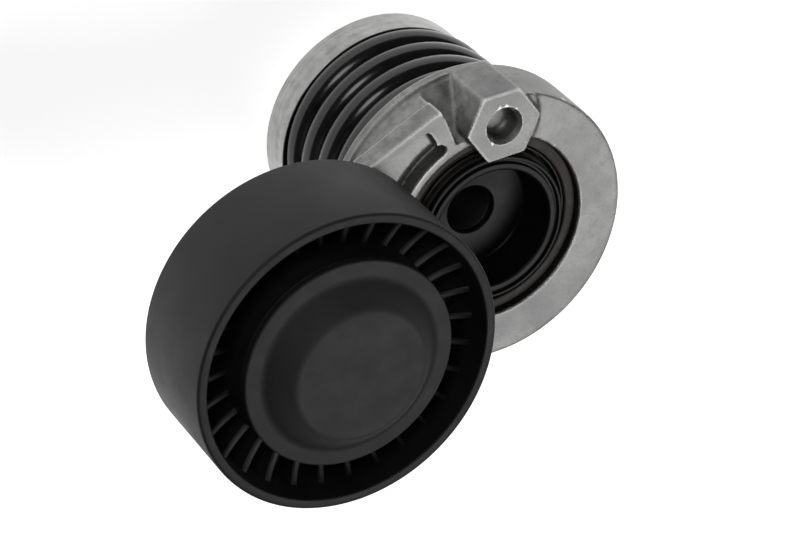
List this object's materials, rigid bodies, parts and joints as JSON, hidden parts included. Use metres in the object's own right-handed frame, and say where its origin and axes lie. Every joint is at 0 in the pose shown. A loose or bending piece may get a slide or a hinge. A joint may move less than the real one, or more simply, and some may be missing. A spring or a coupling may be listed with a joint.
{
  "type": "belt tensioner idler",
  "caption": "Sprung, friction damped tensioner arm on a centre-bolt pivot, carrying a smooth ribbed-web idler pulley on a ball bearing.",
  "frame": {"origin": "centre of the rear mounting face, on the pivot axis", "axes": "+Z along the pivot axis towards the front, +X from the pivot axis to the pulley axis, +Y completes a right-handed frame"},
  "size_m": [0.1192, 0.07, 0.0993],
  "materials": {
    "cast_alloy": "as cast, fine grain",
    "machined_alloy": "machined satin",
    "black_steel": "black coated, satin",
    "spring_steel": "black coated, glossy",
    "plain_steel": "ground",
    "zinc_steel": "zinc plated",
    "friction_polymer": "matt",
    "black_nylon": "satin moulded",
    "cap_plastic": "matt moulded",
    "seal_rubber": "matt"
  },
  "bodies": {
    "base": {"base_cup": "machined_alloy", "locating_pin": "plain_steel", "pivot_shaft": "plain_steel", "front_plate": "black_steel", "friction_ring": "friction_polymer", "damper_band": "plain_steel", "thrust_washer": "friction_polymer", "torsion_spring": "spring_steel"},
    "arm": {"arm_casting": "cast_alloy", "spring_pad": "friction_polymer", "rear_bush": "friction_polymer", "front_bush": "friction_polymer", "bearing_inner_ring": "plain_steel", "rear_shield": "zinc_steel", "bolt_washer": "zinc_steel", "pulley_bolt": "zinc_steel"},
    "pulley": {"pulley": "black_nylon", "bearing_outer_ring": "plain_steel", "front_seal": "seal_rubber", "rear_seal": "seal_rubber", "dust_cap": "cap_plastic"},
    "cage": {"bearing_cage": "black_nylon", "bearing_ball_1": "plain_steel", "bearing_ball_2": "plain_steel", "bearing_ball_3": "plain_steel", "bearing_ball_4": "plain_steel", "bearing_ball_5": "plain_steel", "bearing_ball_6": "plain_steel", "bearing_ball_7": "plain_steel", "bearing_ball_8": "plain_steel"}
  },
  "joints": [
    {"name": "arm_swing", "type": "hinge", "parent": "base", "child": "arm", "pos_m": [0, 0, 0], "axis": [0, 0, 1], "range_deg": [0, 60], "stiffness_Nm_per_rad": 36, "springref_deg": -24.98, "deforming": ["torsion_spring"]},
    {"name": "pulley_spin", "type": "hinge", "parent": "arm", "child": "pulley", "pos_m": [0.0508, 0, 0], "axis": [0, 0, 1], "continuous": true},
    {"name": "cage_spin", "type": "hinge", "parent": "arm", "child": "cage", "pos_m": [0.0508, 0, 0], "axis": [0, 0, 1], "continuous": true}
  ],
  "couplings": [
    {"joint": "cage_spin", "follows": "pulley_spin", "ratio": 0.614}
  ]
}
